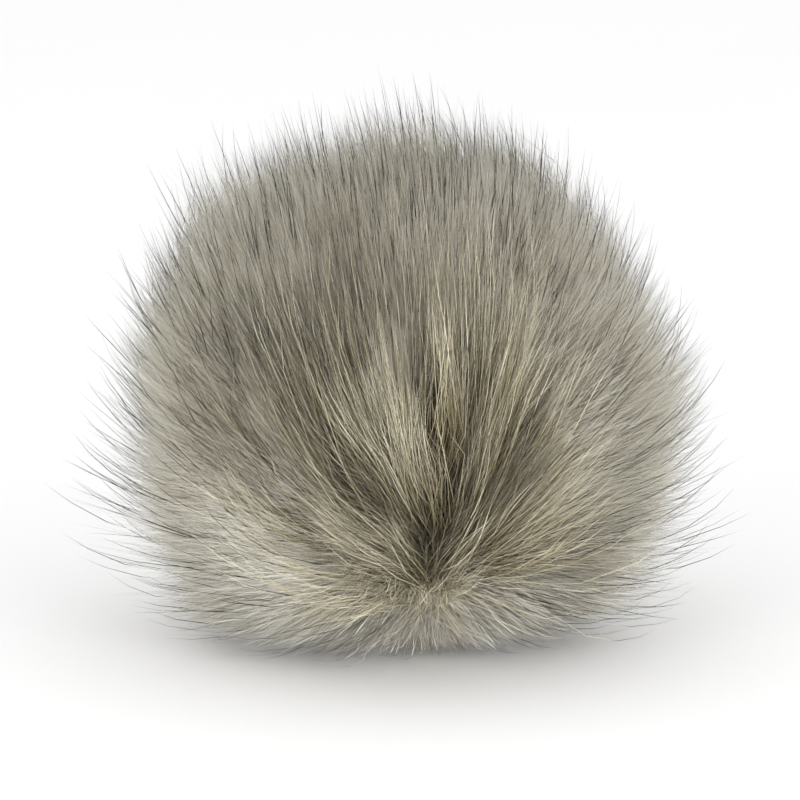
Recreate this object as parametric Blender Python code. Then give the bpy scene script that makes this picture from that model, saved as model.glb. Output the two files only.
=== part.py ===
"""A faux-fur pom pom at rest on a flat surface.

A round of long-pile fake-fur cloth is gathered at its edge into a stuffed ball, with its pile outwards.
The gather lies low on the front of the ball (-Y, and a little to the right). The pile starts crowded
together there and is combed away from it, over the ball, so that it parts in a shallow funnel round the
gather. Under the ball the pile is shorter, and each lock ends level on the surface.

Metres, +Z up. The origin is on the surface, straight under the centre of the ball.
"""

import math
import random

import bmesh
import bpy
from mathutils import Vector

# Driving sizes
BALL_RADIUS = 0.027  # the stuffed ball of cloth under the pile
PILE_REACH = 0.068  # from the ball's centre to the ends of most locks
BALL_HEIGHT = 0.0535  # the ball's centre above the surface
LONG_LOCK = 1.12  # the longest locks, as a share of PILE_REACH
SHORT_LOCK = 0.93  # and the shortest ones

# The gather, as a direction from the ball's centre
GATHER_DIRECTION = Vector((0.09, -0.84, -0.54)).normalized()
FUNNEL_DEPTH = 0.36  # how far the reach falls at the gather, as a share of PILE_REACH
FUNNEL_ANGLE = math.radians(24)  # how wide the funnel is, from its middle to half way up its side
CROWDING = 0.25  # how far apart roots at the gather are, as a share of an even spacing

# The pile as locks. The directions in which their corners point are evenly spread over the ball.
CORNERS = 150  # gives 2 * CORNERS - 4 locks
SPIRAL_START = math.radians(340)  # puts the level end of one lock straight under the ball's centre
SEED = 33
TIP_WANDER = 0.6  # how far a tip may lie from the middle of its lock, as a share of the way to its corners

# A lock from root to end: how far along it a section lies, and how much of the lock's own space it fills
LOCK_SECTIONS = (
    # (share of length, share of width)
    (0.00, 0.62),
    (0.28, 0.84),
    (0.56, 0.86),
    (0.80, 0.56),
)
LEVEL_END_WIDTH = 0.52  # the same share of width where a lock ends level on the surface

# Looks
FUR_COLOUR = (0.42, 0.40, 0.33, 1.0)
FUR_ROUGHNESS = 0.9
SHARP_ANGLE = math.radians(50)

BALL_CENTRE = Vector((0.0, 0.0, BALL_HEIGHT))
GOLDEN_ANGLE = math.pi * (3 - math.sqrt(5))
BISECTION_STEPS = 40


def remove_all_objects():
    """Empties the scene."""
    for thing in list(bpy.data.objects):
        bpy.data.objects.remove(thing, do_unlink=True)


def evenly_spread_directions(count):
    """Directions along a golden-angle spiral that starts at the gather."""
    across = GATHER_DIRECTION.orthogonal().normalized()
    up = GATHER_DIRECTION.cross(across)
    directions = []
    for n in range(count):
        along = 1 - (2 * n + 1) / count
        turn = SPIRAL_START + n * GOLDEN_ANGLE
        ring = math.sqrt(1 - along * along)
        side = across * math.cos(turn) + up * math.sin(turn)
        directions.append(GATHER_DIRECTION * along + side * ring)
    return directions


def angle_from_gather(direction):
    """The angle between the gather and a direction, in radians."""
    return math.acos(max(-1.0, min(1.0, direction.dot(GATHER_DIRECTION))))


def root_angle(end_angle):
    """Where the pile that ends at this angle from the gather has its roots: closer to the gather."""
    share = end_angle / math.pi
    return math.pi * (CROWDING * share + (1 - CROWDING) * share * share)


def free_reach(direction):
    """How far from the ball's centre the pile ends in this direction, if nothing presses on it."""
    funnel = math.exp(-((angle_from_gather(direction) / FUNNEL_ANGLE) ** 2))
    return PILE_REACH * (1 - FUNNEL_DEPTH * funnel)


def combed(direction, radius):
    """The point at this radius of the strand that ends in this direction.

    At the ball's surface the strand is at its root angle, and from there it leans away from the gather."""
    end = angle_from_gather(direction)
    away = direction - GATHER_DIRECTION * direction.dot(GATHER_DIRECTION)
    away.normalize()
    lean = (radius - BALL_RADIUS) / (PILE_REACH - BALL_RADIUS)
    angle = root_angle(end) + (end - root_angle(end)) * min(lean, 1.0)
    turned = GATHER_DIRECTION * math.cos(angle) + away * math.sin(angle)
    return BALL_CENTRE + turned * radius


def reach_to_surface(direction, limit):
    """The radius at which a strand meets the surface that the pom pom rests on, or limit if it doesn't."""
    if combed(direction, limit).z >= 0:
        return limit
    near, far = BALL_RADIUS, limit
    for _ in range(BISECTION_STEPS):
        middle = (near + far) / 2
        if combed(direction, middle).z > 0:
            near = middle
        else:
            far = middle
    return near


def extrude_to(mesh, face, points):
    """Extrudes one face and puts its copied corners at these points. Returns the new face."""
    corners = [vert.index for vert in face.verts]
    new = bmesh.ops.extrude_discrete_faces(mesh, faces=[face])["faces"][0]
    for vert, corner in zip(new.verts, corners):
        vert.co = points[corner]
        vert.index = corner
    return new


def grow_lock(mesh, face, end_directions, rng):
    """Grows a lock out of one face of the ball. It keeps inside its own space, so that it touches no other."""
    corners = {vert.index: end_directions[vert.index] for vert in face.verts}
    middle = sum(corners.values(), Vector()).normalized()
    pull = [rng.random() for _ in corners]
    leaning = sum((d * p for d, p in zip(corners.values(), pull)), Vector()) / sum(pull)
    tip = middle.lerp(leaning, TIP_WANDER).normalized()
    reach = free_reach(tip) * rng.uniform(SHORT_LOCK, LONG_LOCK)
    on_surface = combed(tip, reach).z <= 0

    farthest = reach * LONG_LOCK if on_surface else reach

    def ring(length_share, width_share, axis):
        """The corners of a lock's section, each on its own strand and short of the surface."""
        points = {}
        for corner, direction in corners.items():
            own = axis.lerp(direction, width_share).normalized()
            length = reach_to_surface(own, farthest) - BALL_RADIUS
            points[corner] = combed(own, BALL_RADIUS + length * length_share)
        return points

    for length_share, width_share in LOCK_SECTIONS:
        axis = middle.lerp(tip, length_share).normalized()
        face = extrude_to(mesh, face, ring(length_share, width_share, axis))
    if on_surface:
        end = extrude_to(mesh, face, ring(1.0, LEVEL_END_WIDTH, tip))
        for vert in end.verts:
            vert.co.z = 0.0
    else:
        end = extrude_to(mesh, face, ring(1.0, 0.0, tip))
        bmesh.ops.pointmerge(mesh, verts=list(end.verts), merge_co=combed(tip, reach))


def fur_material():
    """Grey-beige acrylic fur."""
    fur = bpy.data.materials.new("fur")
    fur.use_nodes = True
    shader = fur.node_tree.nodes["Principled BSDF"]
    shader.inputs["Base Color"].default_value = FUR_COLOUR
    shader.inputs["Roughness"].default_value = FUR_ROUGHNESS
    shader.inputs["Metallic"].default_value = 0.0
    return fur


def make_fur_ball():
    """The gathered ball of fur cloth with its pile, as one closed solid."""
    rng = random.Random(SEED)
    end_directions = evenly_spread_directions(CORNERS)
    mesh = bmesh.new()
    for direction in end_directions:
        mesh.verts.new(direction)
    bmesh.ops.convex_hull(mesh, input=list(mesh.verts))
    mesh.verts.index_update()
    mesh.verts.ensure_lookup_table()
    end_directions = [vert.co.copy() for vert in mesh.verts]
    for vert, direction in zip(mesh.verts, end_directions):
        vert.co = combed(direction, BALL_RADIUS)
    for face in list(mesh.faces):
        grow_lock(mesh, face, end_directions, rng)
    bmesh.ops.recalc_face_normals(mesh, faces=list(mesh.faces))

    data = bpy.data.meshes.new("fur_ball")
    mesh.to_mesh(data)
    mesh.free()
    data.shade_smooth()
    data.set_sharp_from_angle(angle=SHARP_ANGLE)
    data.materials.append(fur_material())
    ball = bpy.data.objects.new("fur_ball", data)
    bpy.context.scene.collection.objects.link(ball)
    return ball


remove_all_objects()
make_fur_ball()
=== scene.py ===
"""A faux-fur pom pom, dressed on its frame: the stuffed cloth ball, its soft underfur, the long pile in
wisps, the coarse pile over the gather, the dark guard hairs and the tangle at the gather's lip.
"""

import math

import bpy
import numpy as np
from mathutils import Matrix, Vector


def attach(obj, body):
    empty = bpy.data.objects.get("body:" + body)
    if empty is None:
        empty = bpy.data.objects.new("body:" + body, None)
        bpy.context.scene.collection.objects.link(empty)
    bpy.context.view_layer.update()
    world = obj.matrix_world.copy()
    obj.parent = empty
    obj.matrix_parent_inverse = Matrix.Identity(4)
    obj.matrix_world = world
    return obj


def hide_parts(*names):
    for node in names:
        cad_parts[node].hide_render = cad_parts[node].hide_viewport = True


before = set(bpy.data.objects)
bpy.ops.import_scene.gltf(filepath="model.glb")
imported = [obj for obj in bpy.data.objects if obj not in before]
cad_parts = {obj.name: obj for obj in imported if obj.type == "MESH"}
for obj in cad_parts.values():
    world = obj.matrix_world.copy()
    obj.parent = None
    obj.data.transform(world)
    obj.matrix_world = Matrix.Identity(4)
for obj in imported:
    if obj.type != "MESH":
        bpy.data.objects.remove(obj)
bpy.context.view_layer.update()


# ------------------------------------------------------------------------------------------------------
# The stuffed ball. A round of knitted fur backing, drawn together by a thread through its edge and filled
# until it is firm. The gather is puckered into pleats and lies low on the front, a little to the right.
# Hardly any of it shows between the fibres, and it is painted dark, as the shade down there under the pile.
# ------------------------------------------------------------------------------------------------------
BALL_RADIUS = 0.027
BALL_CENTRE = np.array((0.0, 0.0, 0.0535))
GATHER = np.array((0.135, -0.731, -0.669))
GATHER /= np.linalg.norm(GATHER)
ACROSS = np.cross((0.0, 0.0, 1.0), GATHER)
ACROSS /= np.linalg.norm(ACROSS)
UPWARD = np.cross(GATHER, ACROSS)
PLEATS = 14
PLEAT_DEPTH = 0.10  # as a share of the radius
PLEAT_LENGTH = 1.6  # how far they run out, as a share of the pucker's angle
PUCKER_ANGLE = math.radians(28)
PUCKER_DEPTH = 0.30
# The backing's colours are painted shade: dark as under the pile, in random patches of tone
BACKING_DARK = (0.030, 0.025, 0.020, 1.0)
BACKING_LIGHT = (0.085, 0.074, 0.058, 1.0)


class Value:
    """A number or a colour that varies over a surface: the socket that it comes from."""

    def __init__(self, socket):
        self.socket = socket


class Finish:
    """A material: its shader's constant sockets, and the nodes that vary the others."""

    def __init__(self, name, **constants):
        self.material = bpy.data.materials.new(name)
        self.material.use_nodes = True
        self.nodes = self.material.node_tree.nodes
        self.links = self.material.node_tree.links
        self.shader = self.nodes["Principled BSDF"]
        for words, value in constants.items():
            self.shader.inputs[words.replace("_", " ").title().replace("Ior", "IOR")].default_value = value

    def plug(self, node, sockets):
        """Gives each socket of a node its constant, or the value that varies."""
        for name, value in sockets.items():
            if isinstance(value, Value):
                self.links.new(value.socket, node.inputs[name])
            else:
                node.inputs[name].default_value = value

    def node(self, kind, settings, sockets, output=0):
        """Adds a node of any type. A ramp's stops are a list of places and colours."""
        node = self.nodes.new(kind)
        for name, value in settings.items():
            if name == "stops":
                while len(node.color_ramp.elements) < len(value):
                    node.color_ramp.elements.new(0.5)
                for stop, (place, colour) in zip(node.color_ramp.elements, value):
                    stop.position = place
                    stop.color = colour
            else:
                setattr(node, name, value)
        self.plug(node, sockets)
        return Value(node.outputs[output])

    def blend(self, share, low, high):
        """A colour between two others."""
        settings = {"data_type": "RGBA", "blend_type": "MIX"}
        return self.node("ShaderNodeMix", settings, {0: share, 6: low, 7: high}, output=2)

    def shaded(self, colour, shade):
        """A colour made darker by another."""
        settings = {"data_type": "RGBA", "blend_type": "MULTIPLY"}
        return self.node("ShaderNodeMix", settings, {0: 1.0, 6: colour, 7: shade}, output=2)

    def show(self, **sockets):
        """Plugs what varies over the surface into the shader."""
        self.plug(self.shader, {words.replace("_", " ").title(): v for words, v in sockets.items()})
        return self.material


def backing_cloth():
    """Knitted backing, painted dark as the shade under the pile that covers it."""
    cloth = Finish("backing_cloth", roughness=0.95)
    place = cloth.node("ShaderNodeTexCoord", {}, {}, output="Object")
    knit = cloth.node("ShaderNodeTexVoronoi", {}, {"Vector": place, "Scale": 900.0})
    patches = cloth.node("ShaderNodeTexNoise", {}, {"Vector": place, "Scale": 90.0})
    colour = cloth.blend(patches, BACKING_DARK, BACKING_LIGHT)
    bump = cloth.node("ShaderNodeBump", {}, {"Height": knit, "Strength": 0.4, "Distance": 0.0004})
    return cloth.show(base_color=colour, normal=bump)


bpy.ops.object.select_all(action="DESELECT")
bpy.ops.mesh.primitive_uv_sphere_add(segments=84, ring_count=42, radius=BALL_RADIUS, location=(0, 0, 0))
cloth_ball = bpy.context.object
cloth_ball.name = "cloth_ball"
for vert in cloth_ball.data.vertices:
    angle = vert.co.angle(Vector((0, 0, 1)))
    pucker = math.exp(-((angle / PUCKER_ANGLE) ** 2))
    pleat = math.cos(PLEATS * math.atan2(vert.co.y, vert.co.x))
    pleat *= math.exp(-((angle / PUCKER_ANGLE / PLEAT_LENGTH) ** 2))
    vert.co *= 1 - PUCKER_DEPTH * pucker + PLEAT_DEPTH * pleat * math.sin(angle)
turn = Matrix((ACROSS, UPWARD, GATHER)).transposed().to_4x4()
cloth_ball.data.transform(Matrix.Translation(BALL_CENTRE) @ turn)
bpy.ops.object.shade_smooth()
cloth_ball.data.materials.append(backing_cloth())
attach(cloth_ball, "root")


# ------------------------------------------------------------------------------------------------------
# The underfur. Fine, pale, matt fibres, felted together near the backing, which give the pom pom its soft
# body. Like all of the pile they are knitted into the backing, crowd together at the gather, and lean away
# from it, and under the ball they bend outwards along the floor.
# ------------------------------------------------------------------------------------------------------
FIBRE_MAP = "OFBake"  # across this UV map lie the shades of fibre, and up it the way from root to tip
SHADE_STEP = 0.004  # the width of a side of a fibre in the map
CAP_LIFT = 0.02  # the height of its closed end there
JOINT_GAP = 0.001  # no two joints of a fibre are this close
CLOTH_DEPTH = 0.0006  # how deep a root sits in the backing
FUNNEL_DEPTH = 0.26
FUNNEL_ANGLE = math.radians(24)
ROOT_CROWDING = 2.0  # roots lie at this power of the share of the way round from the gather
SKIRT_CROWDING = 1.15
FLOOR_CUSHION = 0.009  # the height above the floor at which fibres begin to bend outwards
FLOOR_GAP = 0.0002
ROOT_LEAN = math.radians(12)
FIRST_RISE = 0.36  # how far a fibre grows straight out before it bends, as a share of its length
TIP_STIFFNESS = 0.5  # the share of its length in which it turns to the way that its tip points
TIP_LEANS = (  # how far a tip leans from straight out, by its angle from the gather, in degrees
    (0, 75),
    (30, 70),
    (60, 58),
    (100, 48),
    (120, 40),
    (135, 34),
    (150, 33),
    (168, 30),
    (180, 0),
)
# Where a hand has brushed the pile aside: angle, heading and spread, and how far it is turned, in degrees
SWEEPS = (
    (95, 134, 24, -26),
    (70, 145, 20, -9),
    (66, 37, 20, -17),
    (48, 102, 16, 8),
    (30, 143, 14, 25),
    (28, 28, 16, -30),
    (96, 71, 24, 8),
    (50, 9, 14, -11),
    (65, 150, 16, -13),
    (57, 160, 13, -13),
    (78, 148, 13, -9),
    (98, 118, 16, -8),
    (44, 116, 11, 14),
    (28, 92, 9, -20),
    (180, 0, 26, 50),
)
# Where the pile parts: angle from the gather, heading round it, length and width, in degrees
PARTINGS = (
    (40, 95, 12, 4),
    (51, 93, 8, 2.5),
    (38, 122, 9, 4),
    (56, 66, 9, 2.5),
    (79, 140, 14, 2.5),
    (64, 39, 12, 2.5),
)
PARTING_PUSH = 1.2
PARTING_FLOOR = 0.5 * BALL_RADIUS  # the height above the backing at which a parting is fully open
# Where the fibre takes a lighter or darker dye, and where light and shade are painted into it: painted
# shadow under the gather's lip, round the gather and in its partings, and the skirt painted lighter as if
# lit from below. Angle, heading and spread in degrees, and change of shade
DYES_AND_PAINTED_LIGHT = (
    (88, 104, 46, -0.24),
    (78, 93, 16, -0.11),
    (80, 143, 22, -0.16),
    (74, 92, 10, -0.06),
    (94, 92, 12, 0.09),
    (91, 117, 16, -0.12),
    (88, 64, 14, -0.05),
    (61, 126, 14, -0.09),
    (63, 106, 10, 0.18),
    (54, 103, 10, 0.08),
    (52, 68, 12, -0.36),
    (60, 52, 14, 0.10),
    (54, 23, 14, -0.16),
    (80, 5, 12, -0.12),
    (43, 118, 8, -0.36),
    (39, 76, 9, -0.10),
    (43, 94, 6, -0.40),
    (53, 93, 5, -0.34),
    (62, 92, 5, -0.08),
    (48, 80, 7, -0.12),
    (42, 108, 6, -0.14),
    (32, 97, 9, -0.50),
    (20, 104, 10, -0.40),
    (36, 17, 12, -0.32),
    (28, 150, 10, -0.15),
    (19, 142, 9, -0.45),
    (9, 130, 8, -0.45),
    (8, -120, 9, -0.30),
    (20, 127, 6, -0.28),
    (14, 136, 6, -0.14),
    (51, 173, 16, 0.26),
    (48, 171, 11, 0.08),
    (23, 176, 9, 0.25),
    (12, 6, 10, 0.21),
    (28, -168, 14, 0.33),
    (24, -80, 13, 0.26),
    (24, -8, 12, 0.24),
    (48, -95, 20, 0.24),
)
# Where the pile is longer or shorter: angle, heading and spread in degrees, and share of its reach
TRIMS = (
    (112, 28, 24, -0.05),
    (101, -177, 11, -0.13),
    (77, -160, 9, 0.05),
    (66, -150, 10, 0.04),
    (56, -16, 16, 0.07),
    (142, 84, 14, 0.03),
    (136, 66, 7, -0.04),
    (128, 124, 7, -0.03),
)
# The same, of the wisps and hairs that stand out of the pile
FRINGES = (
    (86, -166, 20, 0.15),
    (72, -8, 22, 0.05),
    (142, 90, 16, 0.03),
)
LUMPS = 260  # soft lumps all over the pile
LUMP_SPREADS = (6, 11)  # degrees
LUMP_RISE = 0.030  # how much farther the pile reaches in a lump
# Lumps are painted lighter: painted light, as on tips that stand out into the light
LUMP_PAINTED_LIGHT = 0.035  # and how much lighter it is there
COARSE_MIDDLE = (48, 95)  # the patch over the gather where coarse fibres take the underfur's place
COARSE_RADIUS = math.radians(40)
PATCH_EDGE = math.radians(7)
SKIRT_MIDDLE = (48, -92)  # the skirt under the gather, where the fur stands out and has little pile over it
SKIRT_RADIUS = math.radians(44)
BACK_MIDDLE = (168, -90)  # the back of the pom pom, where the fur lies in all directions
BACK_RADIUS = math.radians(72)

SEED = 11
rng = np.random.default_rng(SEED)


def model_fibre(joints):
    """One fibre to copy, 1 long and 2 across: three-sided, closed, and cut across at each joint.

    A joint is a height and a thickness, both as shares. Returns the fibre's corners, its triangles, and the
    side of it on which each corner lies."""
    bpy.ops.object.select_all(action="DESELECT")
    bpy.ops.mesh.primitive_cone_add(vertices=3, radius1=joints[0][1], depth=1.0, location=(0, 0, 0.5))
    fibre = bpy.context.object
    bpy.ops.object.transform_apply(location=True)
    bpy.ops.object.mode_set(mode="EDIT")
    for (under, under_thickness), (height, thickness) in zip(joints, joints[1:]):
        bpy.ops.mesh.select_all(action="SELECT")
        bpy.ops.mesh.bisect(plane_co=(0, 0, height), plane_no=(0, 0, 1))
        widen = thickness / (under_thickness * (1 - height) / (1 - under))
        bpy.ops.transform.resize(value=(widen, widen, 1.0), center_override=(0, 0, height))
    bpy.ops.mesh.select_all(action="SELECT")
    bpy.ops.mesh.quads_convert_to_tris()
    bpy.ops.object.mode_set(mode="OBJECT")
    corners = np.array([vert.co for vert in fibre.data.vertices])
    triangles = np.array([face.vertices for face in fibre.data.polygons])
    sides = np.round(np.arctan2(corners[:, 0], corners[:, 1]) / (math.tau / 3)).astype(int) % 3
    bpy.data.objects.remove(fibre, do_unlink=True)
    return corners, triangles, sides


def unit(vectors):
    return vectors / np.linalg.norm(vectors, axis=-1, keepdims=True)


def ways_out(angle, heading):
    """Straight out from the ball, and along it away from the gather, at these places round the gather."""
    round_gather = np.cos(heading)[:, None] * ACROSS + np.sin(heading)[:, None] * UPWARD
    out = np.cos(angle)[:, None] * GATHER + np.sin(angle)[:, None] * round_gather
    away = np.cos(angle)[:, None] * round_gather - np.sin(angle)[:, None] * GATHER
    return out, away


def apart_from(out, middle_angle, middle_heading):
    """How far these ways out are, as an angle, from the one to a place given in degrees."""
    middle = ways_out(np.radians([middle_angle]), np.radians([middle_heading]))[0][0]
    return np.arccos(np.clip(out @ middle, -1, 1))


def patches(angle, heading, table):
    """The sum of a table's soft round patches at these places."""
    out = ways_out(angle, heading)[0]
    total = np.zeros(len(angle))
    for middle_angle, middle_heading, spread, change in table:
        share = apart_from(out, middle_angle, middle_heading) / math.radians(spread)
        total += change * np.exp(-(share**2))
    return total


def share_inside(angle, heading, middle, radius):
    """1 well inside a round patch and 0 well outside it."""
    apart = apart_from(ways_out(angle, heading)[0], *middle)
    return 1 / (1 + np.exp((apart - radius) / PATCH_EDGE))


def spread_over_ball(count):
    """Places spread evenly over the whole ball: their angle from the gather and heading round it."""
    angle = np.arccos(rng.uniform(-1, 1, count))
    heading = rng.uniform(0, math.tau, count)
    return angle, heading


lump_angle, lump_heading = spread_over_ball(LUMPS)
lump_spread = rng.uniform(*LUMP_SPREADS, LUMPS)
lump_height = rng.normal(0, 1, LUMPS)
lumps = np.stack((np.degrees(lump_angle), np.degrees(lump_heading), lump_spread, lump_height), axis=1)


def root_angles(tip_angle, tip_heading, crowding=ROOT_CROWDING):
    """How far from the gather the pile that ends at these places has its roots: closer than its tips."""
    skirt = share_inside(tip_angle, tip_heading, SKIRT_MIDDLE, SKIRT_RADIUS)
    return math.pi * (tip_angle / math.pi) ** (crowding + (SKIRT_CROWDING - crowding) * skirt)


def trimmed(angle, heading):
    """The share of its full reach that the pile has at these places."""
    funnel = 1 - FUNNEL_DEPTH * np.exp(-((angle / FUNNEL_ANGLE) ** 2))
    return funnel * (1 + patches(angle, heading, TRIMS) + LUMP_RISE * patches(angle, heading, lumps))


def dyed_and_painted_light(angle, heading):
    """How much lighter the fibre is than its own shade at these places: dye, painted light and shade, and
    the lumps' painted light.
    """
    return patches(angle, heading, DYES_AND_PAINTED_LIGHT) + LUMP_PAINTED_LIGHT * patches(angle, heading, lumps)


def comb(root_angle, root_heading, tip_angle, tip_heading, reach, lean_change=0.0, rise=FIRST_RISE):
    """The four handles of each fibre's curve, from its root in the backing to its tip.

    Rise is how far it first grows straight out, as a share of the way to its tip."""
    out, away = ways_out(root_angle, root_heading)
    root = BALL_CENTRE + out * (BALL_RADIUS - CLOTH_DEPTH)
    root_way = out * math.cos(ROOT_LEAN) + away * math.sin(ROOT_LEAN)
    out, away = ways_out(tip_angle, tip_heading)
    tip = BALL_CENTRE + out * reach[:, None]
    angles, leans = np.radians(np.array(TIP_LEANS)).T
    lean = np.interp(tip_angle, angles, leans) + lean_change
    turn = np.radians(patches(tip_angle, tip_heading, SWEEPS))[:, None]
    away = away * np.cos(turn) + np.cross(out, away) * np.sin(turn)
    tip_way = out * np.cos(lean)[:, None] + away * np.sin(lean)[:, None]
    length = np.linalg.norm(tip - root, axis=1)[:, None]
    out_of_root = root + root_way * length * rise
    into_tip = tip - tip_way * length * TIP_STIFFNESS
    return np.stack((root, out_of_root, into_tip, tip), axis=1)


def along(handles, height):
    """The points of each curve at these shares of its length, and the way it runs there."""
    a, b, c, d = (handles[:, n, None, :] for n in range(4))
    t = height[None, :, None]
    s = 1 - t
    points = s * s * s * a + 3 * s * s * t * b + 3 * s * t * t * c + t * t * t * d
    ways = s * s * (b - a) + 2 * s * t * (c - b) + t * t * (d - c)
    return points, unit(ways)


def part(points):
    """Turns the points near a parting away from its line, round the gather's axis."""
    spoke = points - BALL_CENTRE
    radius = np.linalg.norm(spoke, axis=-1)
    right, up, out = spoke @ ACROSS, spoke @ UPWARD, spoke @ GATHER
    angle = np.arccos(np.clip(out / radius, -1, 1))
    heading = np.arctan2(up, right)
    rise = np.clip((radius - BALL_RADIUS) / PARTING_FLOOR, 0, 1)
    turn = np.zeros_like(angle)
    for middle, line, length, width in np.radians(PARTINGS):
        apart = (heading - line + math.pi) % math.tau - math.pi
        share = apart * np.sin(middle) / width
        near = np.exp(-(((angle - middle) / length) ** 2) - share**2)
        turn += PARTING_PUSH * apart * near * rise
    ring = np.sqrt(right**2 + up**2)
    across = (ring * np.cos(heading + turn))[..., None] * ACROSS
    upward = (ring * np.sin(heading + turn))[..., None] * UPWARD
    return BALL_CENTRE + across + upward + out[..., None] * GATHER


def rest_on_floor(points):
    """Bends what would be near or under the floor, so that it comes to lie along it."""
    low = np.minimum(points[..., 2] - FLOOR_CUSHION, 0.0)
    squeezed = FLOOR_CUSHION * np.exp(low / FLOOR_CUSHION)
    points[..., 2] = np.where(low < 0, squeezed, points[..., 2]) + FLOOR_GAP


def grow(name, fibre, handles, width, shade, material, crimp=0.0, waves=2.0):
    """Copies the fibre along each curve, joins the copies into one piece, and fixes it to the ball.

    Crimp is how far a fibre waves to its sides. It grows to its full amount half way up the fibre."""
    corners, triangles, sides = fibre
    count, each = len(handles), len(corners)
    heights = corners[:, 2]
    centres, ways = along(handles, heights)
    chord = unit(handles[:, 3] - handles[:, 0])
    side = unit(np.cross(chord, rng.normal(size=chord.shape)))[:, None, :]
    side = unit(side - ways * np.sum(ways * side, axis=2, keepdims=True))
    other = np.cross(ways, side)
    phase = rng.uniform(0, math.tau, (count, 2, 1))
    sway = crimp * np.sin(math.tau * waves * heights + phase) * np.clip(2 * heights, 0, 1)
    centres = centres + side * sway[:, 0, :, None] + other * sway[:, 1, :, None]
    centres = part(centres)
    half = (width / 2)[:, None, None]
    points = centres + half * (side * corners[None, :, 0, None] + other * corners[None, :, 1, None])
    rest_on_floor(points)

    mesh = bpy.data.meshes.new(name)
    faces = (triangles[None] + each * np.arange(count)[:, None, None]).reshape(-1, 3)
    mesh.vertices.add(count * each)
    mesh.vertices.foreach_set("co", points.reshape(-1).astype(np.float32))
    mesh.loops.add(faces.size)
    mesh.loops.foreach_set("vertex_index", faces.reshape(-1).astype(np.int32))
    mesh.polygons.add(len(faces))
    mesh.polygons.foreach_set("loop_start", np.arange(0, faces.size, 3, dtype=np.int32))
    mesh.update(calc_edges=True)
    mesh.shade_smooth()

    # On the map a fibre is a narrow upright strip that comes to a point at its tip
    place = np.empty((count, triangles.size, 2), np.float32)
    corner = triangles.reshape(-1)
    at_tip, at_root = heights[corner] > 1 - JOINT_GAP, heights[corner] < JOINT_GAP
    step = np.where(at_tip, 0, sides[corner] - 1) * SHADE_STEP
    lift = np.where((sides[corner] == 1) & at_root, CAP_LIFT, 0.0)
    place[:, :, 0] = np.clip(shade, 2 * SHADE_STEP, 1 - 2 * SHADE_STEP)[:, None] + step
    place[:, :, 1] = np.clip(heights[corner] + lift, 0.0, 1.0)
    mesh.uv_layers.new(name=FIBRE_MAP).uv.foreach_set("vector", place.reshape(-1))
    mesh.materials.append(material)

    piece = bpy.data.objects.new(name, mesh)
    bpy.context.scene.collection.objects.link(piece)
    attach(piece, "root")
    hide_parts("fur_ball")


def fibre_finish(name, shades, lengthwise, roughness):
    """Fibre colours from the map: its shade across, darkened or lightened from root to tip, the darkening
    towards the root being painted shade deep in the pile.
    """
    fibre = Finish(name, roughness=roughness)
    place = fibre.node("ShaderNodeUVMap", {"uv_map": FIBRE_MAP}, {})
    across = fibre.node("ShaderNodeSeparateXYZ", {}, {"Vector": place}, output="X")
    up = fibre.node("ShaderNodeSeparateXYZ", {}, {"Vector": place}, output="Y")
    colour = fibre.node("ShaderNodeValToRGB", {"stops": shades}, {"Fac": across})
    painted_root_shade = fibre.node("ShaderNodeValToRGB", {"stops": lengthwise}, {"Fac": up})
    return fibre.show(base_color=fibre.shaded(colour, painted_root_shade))


SOFT_SHADES = (  # place across the map, and colour there
    (0.00, (0.05, 0.042, 0.032, 1.0)),
    (0.14, (0.26, 0.238, 0.192, 1.0)),
    (0.35, (0.52, 0.496, 0.430, 1.0)),
    (0.70, (0.77, 0.752, 0.692, 1.0)),
    (0.85, (0.91, 0.900, 0.860, 1.0)),
    (1.00, (0.93, 0.875, 0.690, 1.0)),
)
# Darker towards the root: painted shade deep in the fur
SOFT_LENGTHWISE = (  # place up the map, from root to tip, and what the colour is multiplied by
    (0.00, (0.60, 0.54, 0.44, 1.0)),
    (0.45, (0.86, 0.83, 0.75, 1.0)),
    (0.90, (1.00, 1.00, 1.00, 1.0)),
)
SOFT_SHADE = 0.57
# Each count of tries is of places spread over the whole ball, of which only some are kept
UNDERFUR_TRIES = 80000
UNDERFUR_BARE = 0.15  # the share left out everywhere but in the skirt
UNDERFUR_BARE_AT_GATHER = 0.75
UNDERFUR_REACH = 0.0645
UNDERFUR_LONGEST, UNDERFUR_SHORTEST = 1.07, 0.85  # shares of its reach
UNDERFUR_WIDTH = 0.00018  # of a free end, where it comes out of the felt
UNDERFUR_WIDTHS = (0.8, 1.2)  # the least and the most of that
UNDERFUR_UNEVENNESS = 0.03  # of its shade
UNDERFUR_ROOT_SCATTER = math.radians(4)
ROOT_RING = 0.2  # rings round the gather count as no narrower than this share of the ball
UNDERFUR_STRAY = 0.10  # how far its ends point away from the comb, as a share of their length
UNDERFUR_LEAN = math.radians(-24)  # how much more it leans than the pile does
SKIRT_LEAN = math.radians(-12)
SKIRT_FULLNESS = 0.04
SKIRT_FINENESS = 0.55
SKIRT_TRIES = 130000
SKIRT_STRAY = 0.05
BACK_STRAY = 0.13
FREE_LIMIT = 0.020  # the longest free end
FELT_RADIUS = 0.054  # near the backing the underfur is felted together, up to here
FELT_DENT = 0.46  # how much of that is missing at the gather
FELT_DENT_ANGLE = math.radians(35)
FELT_SHADE = 0.50
FELT_MAP = "shade"  # an attribute of the felt's points
# Painted shade: the felt is painted darker round the gather, in the hollow under the coarse pile, and at
# the back, where the fibres over it shade it
PAINTED_SHADE_MIDDLE = (38, 97)  # round the gather it is darker
PAINTED_SHADE_RADIUS = math.radians(21)
GATHER_PAINTED_SHADE = -0.55
BACK_PAINTED_SHADE = -0.13  # and so it is at the back
BACK_HOLLOW = 0.08  # how much closer to the backing the felt ends there
STREAK_DARK = (0.66, 0.65, 0.63, 1.0)
STREAK_PALE = (1.0, 1.0, 1.0, 1.0)


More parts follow.
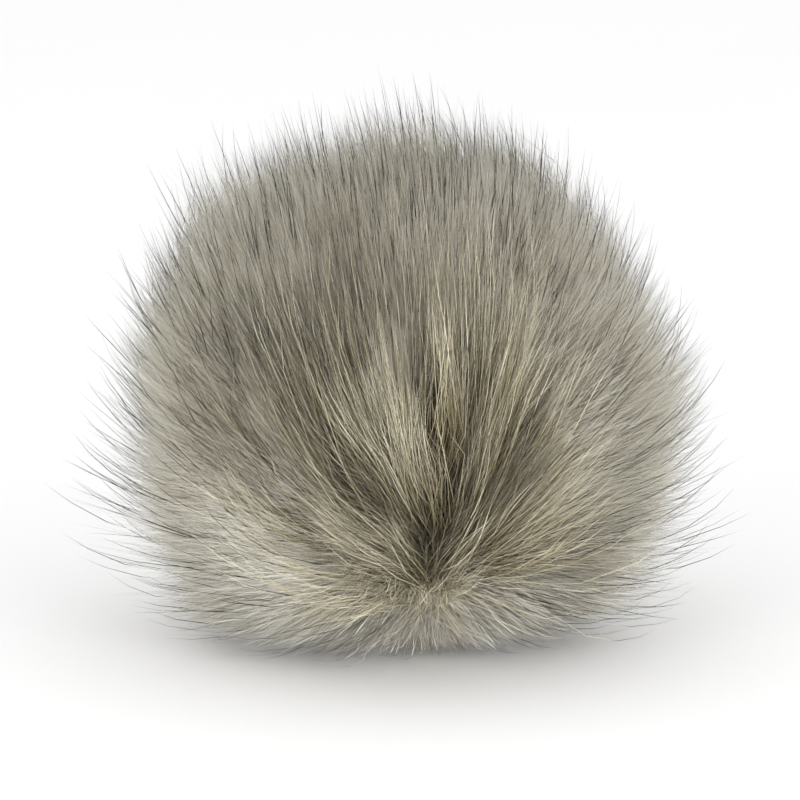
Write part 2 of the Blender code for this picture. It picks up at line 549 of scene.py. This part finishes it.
def felt_reach(angle, heading):
    """How far out the underfur is felted: dented at the gather, and full in the skirt under it."""
    skirt = share_inside(angle, heading, SKIRT_MIDDLE, SKIRT_RADIUS)
    dent = FELT_DENT * np.exp(-((angle / FELT_DENT_ANGLE) ** 2)) * (1 - skirt)
    funnel = FUNNEL_DEPTH * np.exp(-((angle / FUNNEL_ANGLE) ** 2)) * skirt
    hollow = BACK_HOLLOW * share_inside(angle, heading, BACK_MIDDLE, BACK_RADIUS)
    return FELT_RADIUS * (1 - dent - funnel - hollow) * (1 + patches(angle, heading, TRIMS))


def felt_finish():
    """Matted fibres, in the shades of those that grow out of them, with painted shade round the gather and
    at the back.
    """
    matted = Finish("matted_fibre", roughness=0.95)
    place = matted.node("ShaderNodeTexCoord", {}, {}, output="Object")
    shade = matted.node("ShaderNodeAttribute", {"attribute_name": FELT_MAP}, {}, output="Fac")
    colour = matted.node("ShaderNodeValToRGB", {"stops": SOFT_SHADES}, {"Fac": shade})
    streaks = matted.node("ShaderNodeTexNoise", {}, {"Vector": place, "Scale": 700.0, "Detail": 4.0})
    bump = matted.node("ShaderNodeBump", {}, {"Height": streaks, "Strength": 0.6, "Distance": 0.0006})
    colour = matted.shaded(colour, matted.blend(streaks, STREAK_DARK, STREAK_PALE))
    return matted.show(base_color=colour, normal=bump)


soft_finish = fibre_finish("soft_fibre", SOFT_SHADES, SOFT_LENGTHWISE, 0.9)
bpy.ops.object.select_all(action="DESELECT")
bpy.ops.mesh.primitive_uv_sphere_add(segments=96, ring_count=48, radius=1.0, location=(0, 0, 0))
felt = bpy.context.object
felt.name = "felted_underfur"
out = unit(np.array([vert.co for vert in felt.data.vertices]))
felt_angle, felt_heading = np.arccos(np.clip(out[:, 2], -1, 1)), np.arctan2(out[:, 1], out[:, 0])
lumpy = felt_reach(felt_angle, felt_heading) * (1 + LUMP_RISE * patches(felt_angle, felt_heading, lumps))
points = BALL_CENTRE + ways_out(felt_angle, felt_heading)[0] * lumpy[:, None]
rest_on_floor(points)
felt.data.vertices.foreach_set("co", points.reshape(-1))
felt_shade = FELT_SHADE + dyed_and_painted_light(felt_angle, felt_heading)
felt_shade += GATHER_PAINTED_SHADE * share_inside(felt_angle, felt_heading, PAINTED_SHADE_MIDDLE, PAINTED_SHADE_RADIUS)
felt_shade += BACK_PAINTED_SHADE * share_inside(felt_angle, felt_heading, BACK_MIDDLE, BACK_RADIUS)
felt.data.attributes.new(FELT_MAP, "FLOAT", "POINT").data.foreach_set("value", np.clip(felt_shade, 0, 1))
bpy.ops.object.shade_smooth()
felt.data.materials.append(felt_finish())
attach(felt, "root")
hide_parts("fur_ball")

underfur_fibre = model_fibre(((0.0, 1.0),))
tip_angle, tip_heading = spread_over_ball(UNDERFUR_TRIES)
bare = UNDERFUR_BARE_AT_GATHER * share_inside(tip_angle, tip_heading, COARSE_MIDDLE, COARSE_RADIUS)
bare += UNDERFUR_BARE * (1 - share_inside(tip_angle, tip_heading, SKIRT_MIDDLE, SKIRT_RADIUS))
kept = rng.uniform(0, 1, UNDERFUR_TRIES) > bare
more_angle, more_heading = spread_over_ball(SKIRT_TRIES)
more = rng.uniform(0, 1, SKIRT_TRIES) < share_inside(more_angle, more_heading, SKIRT_MIDDLE, SKIRT_RADIUS)
tip_angle = np.concatenate((tip_angle[kept], more_angle[more]))
tip_heading = np.concatenate((tip_heading[kept], more_heading[more]))
count = len(tip_angle)
share = UNDERFUR_LONGEST - (UNDERFUR_LONGEST - UNDERFUR_SHORTEST) * rng.uniform(0, 1, count)
reach = UNDERFUR_REACH * trimmed(tip_angle, tip_heading) * share
root_angle = np.abs(root_angles(tip_angle, tip_heading) + rng.normal(0, UNDERFUR_ROOT_SCATTER, count))
root_turn = rng.normal(0, UNDERFUR_ROOT_SCATTER, count)
root_heading = tip_heading + root_turn / np.maximum(np.sin(root_angle), ROOT_RING)
skirt = share_inside(tip_angle, tip_heading, SKIRT_MIDDLE, SKIRT_RADIUS)
reach *= 1 + SKIRT_FULLNESS * skirt
back = share_inside(tip_angle, tip_heading, BACK_MIDDLE, BACK_RADIUS)
own_lean = UNDERFUR_LEAN * (1 - back) + SKIRT_LEAN * skirt
handles = comb(root_angle, root_heading, tip_angle, tip_heading, reach, own_lean)
stray = (UNDERFUR_STRAY + SKIRT_STRAY * skirt + BACK_STRAY * back)[:, None]
tip_way = unit(handles[:, 3] - handles[:, 2]) + rng.normal(0, 1, (count, 3)) * stray
# Only what is free of the felt is grown: from each tip straight back to where the fibre enters the felt
tip = handles[:, 3] - BALL_CENTRE
half_chord = np.sum(tip * tip_way, axis=1)
felt_radius = felt_reach(tip_angle, tip_heading) - CLOTH_DEPTH
half_chord_in_felt = np.sqrt(np.maximum(half_chord**2 - reach**2 + felt_radius**2, 0))
free_length = np.minimum(half_chord - half_chord_in_felt, FREE_LIMIT)
handles[:, 0] = handles[:, 3] - tip_way * free_length[:, None]
width = UNDERFUR_WIDTH * rng.uniform(*UNDERFUR_WIDTHS, count) * (1 - SKIRT_FINENESS * skirt)
shade = SOFT_SHADE + dyed_and_painted_light(tip_angle, tip_heading) + rng.normal(0, UNDERFUR_UNEVENNESS, count)
front = handles[:, 3, 1] < BALL_CENTRE[1]
for name, own in (("underfur_front", front), ("underfur_back", ~front)):
    grow(name, underfur_fibre, handles[own], width[own], shade[own], soft_finish)


# ------------------------------------------------------------------------------------------------------
# The soft pile. Longer grey-beige acrylic fibres over the underfur, which cling together in wisps that
# stand out at the edge. Each wisp follows one curve, and its fibres close in on it towards their tips.
# ------------------------------------------------------------------------------------------------------
SOFT_PILE_COUNT = 13500
SOFT_PILE_REACH = 0.0660
SOFT_PILE_WIDTH = 0.00013
SOFT_PILE_WIDTHS = (0.7, 1.4)
SOFT_PILE_STAGGER = 0.16
SOFT_PILE_LOOSENESS = 0.0009
SOFT_PILE_UNEVENNESS = 0.05
SOFT_PILE_BARE_IN_SKIRT = 0.95
PILE_CRIMP = 0.0004
WISPS = 1500
WISP_SWAY = math.radians(6)
WISP_LEAN = math.radians(9)
WISP_REACHES = (0.89, 1.11)
WISP_PINCH = 0.75  # how far the tips of the tightest wisps are drawn together
WISP_SPREAD = 0.55  # how far from its middle a wisp's fibres have their roots, as a share of its size
WISP_UNEVENNESS = 0.05
LONGEST_FIBRE = 1.03
LONG_FIBRES = 1.3  # the higher this power, the more fibres are nearly as long as the longest
NEAR_POLE = 0.02  # radians
TIP_RING = 0.12  # as ROOT_RING, for tips

soft_pile_fibre = model_fibre(((0.0, 0.8), (0.50, 1.0)))
wisp_angle, wisp_heading = spread_over_ball(WISPS)
wisp_sway = rng.normal(0, WISP_SWAY, (WISPS, 2))
wisp_lean = rng.normal(0, WISP_LEAN, WISPS)
wisp_reach = rng.uniform(*WISP_REACHES, WISPS)
wisp_pinch = rng.uniform(0.0, WISP_PINCH, WISPS)
wisp_shade = rng.normal(0, WISP_UNEVENNESS, WISPS)
wisp_size = math.sqrt(4 * math.pi / WISPS)


def lay_wisps(count, full_reach, stagger, looseness, crowding=ROOT_CROWDING, rise=FIRST_RISE):
    """Lays fibres in the wisps. Stagger is how unevenly they end, and looseness how far they stray."""
    wisp = rng.integers(0, WISPS, count)
    offset = rng.normal(0, wisp_size * WISP_SPREAD, (count, 2))
    angle = wisp_angle[wisp]
    turn_share = 1 / np.maximum(np.sin(angle), TIP_RING)
    loose = 1 - wisp_pinch[wisp]
    free_angle = np.minimum(np.abs(angle + offset[:, 0]), math.pi)
    free_heading = wisp_heading[wisp] + offset[:, 1] * turn_share
    sway = wisp_sway[wisp]
    tip_angle = np.clip(angle + offset[:, 0] * loose + sway[:, 0], NEAR_POLE, math.pi - NEAR_POLE)
    tip_heading = wisp_heading[wisp] + (offset[:, 1] * loose + sway[:, 1]) * turn_share
    share = wisp_reach[wisp] * (LONGEST_FIBRE - stagger * rng.uniform(0, 1, count) ** LONG_FIBRES)
    share *= 1 + patches(tip_angle, tip_heading, FRINGES)
    reach = full_reach * trimmed(tip_angle, tip_heading) * share
    root_angle = root_angles(free_angle, free_heading, crowding)
    handles = comb(root_angle, free_heading, tip_angle, tip_heading, reach, wisp_lean[wisp], rise)
    handles[:, 1:] += rng.normal(0, looseness, (count, 3, 3))
    shade = dyed_and_painted_light(tip_angle, tip_heading) + wisp_shade[wisp]
    return handles, tip_angle, tip_heading, shade


handles, tip_angle, tip_heading, shade = lay_wisps(
    SOFT_PILE_COUNT, SOFT_PILE_REACH, SOFT_PILE_STAGGER, SOFT_PILE_LOOSENESS
)
bare = share_inside(tip_angle, tip_heading, COARSE_MIDDLE, COARSE_RADIUS)
bare += SOFT_PILE_BARE_IN_SKIRT * share_inside(tip_angle, tip_heading, SKIRT_MIDDLE, SKIRT_RADIUS)
kept = rng.uniform(0, 1, SOFT_PILE_COUNT) > bare
handles, shade = handles[kept], shade[kept]
count = len(handles)
width = SOFT_PILE_WIDTH * rng.uniform(*SOFT_PILE_WIDTHS, count)
shade = SOFT_SHADE + shade + rng.normal(0, SOFT_PILE_UNEVENNESS, count)
grow("soft_pile", soft_pile_fibre, handles, width, shade, soft_finish, PILE_CRIMP)


# ------------------------------------------------------------------------------------------------------
# The coarse pile. Over the gather the pile is rubbed open, and thick, wiry, olive-cream fibres with a
# slight crimp cross there, with dark partings between them down to the backing.
# ------------------------------------------------------------------------------------------------------
COARSE_TRIES = 86000
COARSE_REACH = 0.0655
COARSE_CROWDING = 3.0  # its roots crowd closer to the gather, and it first stands out of it
COARSE_RISE = 0.54
COARSE_WIDTH = 0.00015
COARSE_WIDTHS = (0.6, 1.3)
COARSE_STAGGER = 0.28
COARSE_LOOSENESS = 0.0022
COARSE_WAVES = 3.0
COARSE_SHADES = (  # as SOFT_SHADES
    (0.00, (0.10, 0.085, 0.055, 1.0)),
    (0.30, (0.30, 0.265, 0.180, 1.0)),
    (0.60, (0.60, 0.555, 0.400, 1.0)),
    (0.85, (0.82, 0.770, 0.580, 1.0)),
    (1.00, (0.92, 0.880, 0.700, 1.0)),
)
# Much darker towards the root: painted shade deep among the crossing fibres, where they lie under others
COARSE_LENGTHWISE = (  # as SOFT_LENGTHWISE
    (0.00, (0.10, 0.085, 0.06, 1.0)),
    (0.35, (0.26, 0.216, 0.15, 1.0)),
    (0.65, (0.62, 0.57, 0.445, 1.0)),
    (0.85, (1.00, 1.00, 1.00, 1.0)),
)
COARSE_SHADE = 0.58
COARSE_UNEVENNESS = 0.30
# Where few coarse fibres grow: angle, heading and spread in degrees, and share that is left out
THINNED = (
    (46, 95, 6, 0.88),
    (35, 96, 6, 0.85),
    (56, 93, 4, 0.60),
)

coarse_fibre = model_fibre(((0.0, 0.7), (0.42, 1.0), (0.64, 1.0), (0.84, 0.8)))
coarse_finish = fibre_finish("coarse_fibre", COARSE_SHADES, COARSE_LENGTHWISE, 0.38)
handles, tip_angle, tip_heading, shade = lay_wisps(
    COARSE_TRIES, COARSE_REACH, COARSE_STAGGER, COARSE_LOOSENESS, COARSE_CROWDING, COARSE_RISE
)
chance = share_inside(tip_angle, tip_heading, COARSE_MIDDLE, COARSE_RADIUS)
chance *= 1 - patches(tip_angle, tip_heading, THINNED)
kept = rng.uniform(0, 1, COARSE_TRIES) < chance
handles, shade, tip_heading = handles[kept], shade[kept], tip_heading[kept]
count = len(handles)
width = COARSE_WIDTH * rng.uniform(*COARSE_WIDTHS, count)
shade = COARSE_SHADE + shade + rng.normal(0, COARSE_UNEVENNESS, count)
on_left = np.cos(tip_heading) < 0
for name, own in (("coarse_pile_left", on_left), ("coarse_pile_right", ~on_left)):
    grow(name, coarse_fibre, handles[own], width[own], shade[own], coarse_finish, PILE_CRIMP, COARSE_WAVES)


# ------------------------------------------------------------------------------------------------------
# The guard hairs. Single, straighter, longer hairs with dark tips, which stand out all over the pile,
# and most of all over the crown.
# ------------------------------------------------------------------------------------------------------
GUARD_TRIES = 5200
GUARD_REACH = 0.0700
GUARD_REACHES = (0.985, 0.042)  # their middle and spread, as shares of that
GUARD_WIDTH = 0.00017
GUARD_WIDTHS = (0.6, 1.3)
GUARD_LEAN = math.radians(9)
GUARD_LOOSENESS = 0.0010
GUARD_SHARE = 0.42  # of the places tried, and how much more of them over the crown
GUARD_SHARE_ON_CROWN = 0.50
GUARD_BARE_AT_GATHER = 0.7
GUARD_BARE_IN_SKIRT = 0.6
CROWN = (121, 93)
CROWN_SPREAD = math.radians(38)
GUARD_DARK = (0.022, 0.018, 0.014, 1.0)
DARK_FROM, DARK_BY = 0.74, 0.82  # where along a hair its dark end begins

guard_fibre = model_fibre(((0.0, 0.4), (0.46, 0.7), (0.66, 0.9), (0.80, 1.0), (0.91, 0.6)))
tip_angle, tip_heading = spread_over_ball(GUARD_TRIES)
crown = np.exp(-((apart_from(ways_out(tip_angle, tip_heading)[0], *CROWN) / CROWN_SPREAD) ** 2))
chance = GUARD_SHARE + GUARD_SHARE_ON_CROWN * crown
chance *= 1 - GUARD_BARE_AT_GATHER * share_inside(tip_angle, tip_heading, COARSE_MIDDLE, COARSE_RADIUS)
chance *= 1 - GUARD_BARE_IN_SKIRT * share_inside(tip_angle, tip_heading, SKIRT_MIDDLE, SKIRT_RADIUS)
kept = rng.uniform(0, 1, GUARD_TRIES) < chance
tip_angle, tip_heading = tip_angle[kept], tip_heading[kept]
count = len(tip_angle)
reach = GUARD_REACH * trimmed(tip_angle, tip_heading) * rng.normal(*GUARD_REACHES, count)
reach *= 1 + patches(tip_angle, tip_heading, FRINGES)
lean = rng.normal(0, GUARD_LEAN, count)
root_angle = root_angles(tip_angle, tip_heading)
handles = comb(root_angle, tip_heading, tip_angle, tip_heading, reach, lean)
handles[:, 2:] += rng.normal(0, GUARD_LOOSENESS, (count, 2, 3))
width = GUARD_WIDTH * rng.uniform(*GUARD_WIDTHS, count)
shade = SOFT_SHADE + dyed_and_painted_light(tip_angle, tip_heading)
guard = Finish("guard_hair", roughness=0.5, specular_ior_level=0.05)
place = guard.node("ShaderNodeUVMap", {"uv_map": FIBRE_MAP}, {})
across = guard.node("ShaderNodeSeparateXYZ", {}, {"Vector": place}, output="X")
up = guard.node("ShaderNodeSeparateXYZ", {}, {"Vector": place}, output="Y")
pale = guard.node("ShaderNodeValToRGB", {"stops": SOFT_SHADES}, {"Fac": across})
dark_ends = {"Value": up, "From Min": DARK_FROM, "From Max": DARK_BY}
dark_share = guard.node("ShaderNodeMapRange", {"interpolation_type": "SMOOTHSTEP"}, dark_ends)
guard_finish = guard.show(base_color=guard.blend(dark_share, pale, GUARD_DARK))
grow("guard_hairs", guard_fibre, handles, width, shade, guard_finish)


# ------------------------------------------------------------------------------------------------------
# The tangle. Coarse fibres from round the gather curl over its lip and cross, above the skirt, and a dark
# hollow stays under them.
# ------------------------------------------------------------------------------------------------------
TANGLE_COUNT = 950
TANGLE_WIDTH = 0.00015
TANGLE_WIDTHS = (0.6, 1.2)
TANGLE_REACH = 0.0590
TANGLE_REACHES = (0.88, 1.06)
TANGLE_SHADES = (0.40, 0.26)  # their middle and spread
TANGLE_CRIMP = 0.0012
TANGLE_WAVES = 1.6
TANGLE_ROOT_SPREAD = math.radians(8)
TANGLE_JOINTS = 6  # many, so that the fibre can curl
FIRST_JOINT, JOINT_STEP = 0.30, 0.11  # shares of the fibre's length
JOINT_TAPER = 0.05  # how much thinner the fibre gets from joint to joint
OVER_LIP = (0.6, 1.2)  # how far from the gather the tips come to lie, as a share of the way to its lip
LIP = (  # the line over which the fibres hang: heading and angle from the gather, in degrees
    (145, 28),
    (149, 23),
    (143, 17),
    (123, 12),
    (92, 10),
)
CURL_HEIGHT = 0.006  # how far a fibre rises above the lip before it comes down over it
CURL_STRAY = 0.0042
TIP_STRAY = 0.4  # as a share of that

tangle_joints = [(0.0, 0.7)]
for n in range(TANGLE_JOINTS):
    tangle_joints.append((FIRST_JOINT + JOINT_STEP * n, 1.0 - JOINT_TAPER * n))
tangle_fibre = model_fibre(tangle_joints)
headings, angles = np.radians(np.array(LIP)).T
lip_place = (len(LIP) - 1) * rng.uniform(0, 1, TANGLE_COUNT)
tip_heading = np.interp(lip_place, range(len(LIP)), headings)
tip_angle = np.interp(lip_place, range(len(LIP)), angles) * rng.uniform(*OVER_LIP, TANGLE_COUNT)
root_angle = np.abs(rng.normal(0, TANGLE_ROOT_SPREAD, TANGLE_COUNT))
root_heading = rng.uniform(0, math.pi, TANGLE_COUNT)
reach = TANGLE_REACH * rng.uniform(*TANGLE_REACHES, TANGLE_COUNT)
handles = comb(root_angle, root_heading, tip_angle, tip_heading, reach)
handles[:, 2] = handles[:, 3] + UPWARD * CURL_HEIGHT
handles[:, 2] += rng.normal(0, CURL_STRAY, (TANGLE_COUNT, 3))
handles[:, 3] += rng.normal(0, TIP_STRAY * CURL_STRAY, (TANGLE_COUNT, 3))
width = TANGLE_WIDTH * rng.uniform(*TANGLE_WIDTHS, TANGLE_COUNT)
shade = rng.normal(*TANGLE_SHADES, TANGLE_COUNT)
grow("tangle", tangle_fibre, handles, width, shade, coarse_finish, TANGLE_CRIMP, TANGLE_WAVES)


# ------------------------------------------------------------------------------------------------------
# The studio. A pale paper floor, a white sky that lights it softly from all around, a low soft lamp on
# either side of the front, and the camera at the photograph's angle.
# ------------------------------------------------------------------------------------------------------
FRAME_SIDE = 800
METRES_PER_PIXEL = 0.000225
BALL_PIXEL = (402, 405)  # where the ball's centre lies in the photograph
CAMERA_DISTANCE = 1.2
CAMERA_ELEVATION = math.radians(12)
FLOOR_SIDE = 8.0
PAPER_DARK = (0.87, 0.87, 0.875, 1.0)
PAPER_LIGHT = (0.89, 0.89, 0.89, 1.0)
SKY_STRENGTH = 1.07
SOFTBOX_SIDE = 0.7
SOFTBOX_POWER = 11.0

bpy.ops.object.select_all(action="DESELECT")
bpy.ops.mesh.primitive_plane_add(size=FLOOR_SIDE, location=(0, 0, 0))
floor = bpy.context.object
floor.name = "floor"
paper = Finish("paper", roughness=0.9)
grain = paper.node("ShaderNodeTexNoise", {}, {"Scale": 40.0})
floor.data.materials.append(paper.show(base_color=paper.blend(grain, PAPER_DARK, PAPER_LIGHT)))

world = bpy.data.worlds.new("studio")
bpy.context.scene.world = world
world.use_nodes = True
world.node_tree.nodes["Background"].inputs["Color"].default_value = (1.0, 1.0, 1.0, 1.0)
world.node_tree.nodes["Background"].inputs["Strength"].default_value = SKY_STRENGTH


def softbox(name, place):
    """A square lamp that is turned towards the ball."""
    lamp = bpy.data.lights.new(name, "AREA")
    lamp.shape = "SQUARE"
    lamp.size = SOFTBOX_SIDE
    lamp.energy = SOFTBOX_POWER
    box = bpy.data.objects.new(name, lamp)
    box.location = place
    box.rotation_euler = (Vector(BALL_CENTRE) - Vector(place)).to_track_quat("-Z", "Y").to_euler()
    bpy.context.scene.collection.objects.link(box)


softbox("left_softbox", (-0.8, -1.0, 0.18))
softbox("right_softbox", (0.8, -1.0, 0.18))

to_camera = Vector((0.0, -math.cos(CAMERA_ELEVATION), math.sin(CAMERA_ELEVATION)))
camera_data = bpy.data.cameras.new("camera")
camera_data.sensor_width = 36.0
camera_data.lens = camera_data.sensor_width * CAMERA_DISTANCE / (FRAME_SIDE * METRES_PER_PIXEL)
camera = bpy.data.objects.new("camera", camera_data)
right_of_centre = (BALL_PIXEL[0] - FRAME_SIDE / 2) * METRES_PER_PIXEL
below_centre = (BALL_PIXEL[1] - FRAME_SIDE / 2) * METRES_PER_PIXEL
up_way = Vector((0.0, math.sin(CAMERA_ELEVATION), math.cos(CAMERA_ELEVATION)))
target = Vector(BALL_CENTRE) - Vector((right_of_centre, 0, 0)) + up_way * below_centre
camera.location = target + to_camera * CAMERA_DISTANCE
camera.rotation_euler = (-to_camera).to_track_quat("-Z", "Y").to_euler()
bpy.context.scene.collection.objects.link(camera)
bpy.context.scene.camera = camera
bpy.context.scene.view_settings.view_transform = "Standard"

bpy.context.view_layer.update()
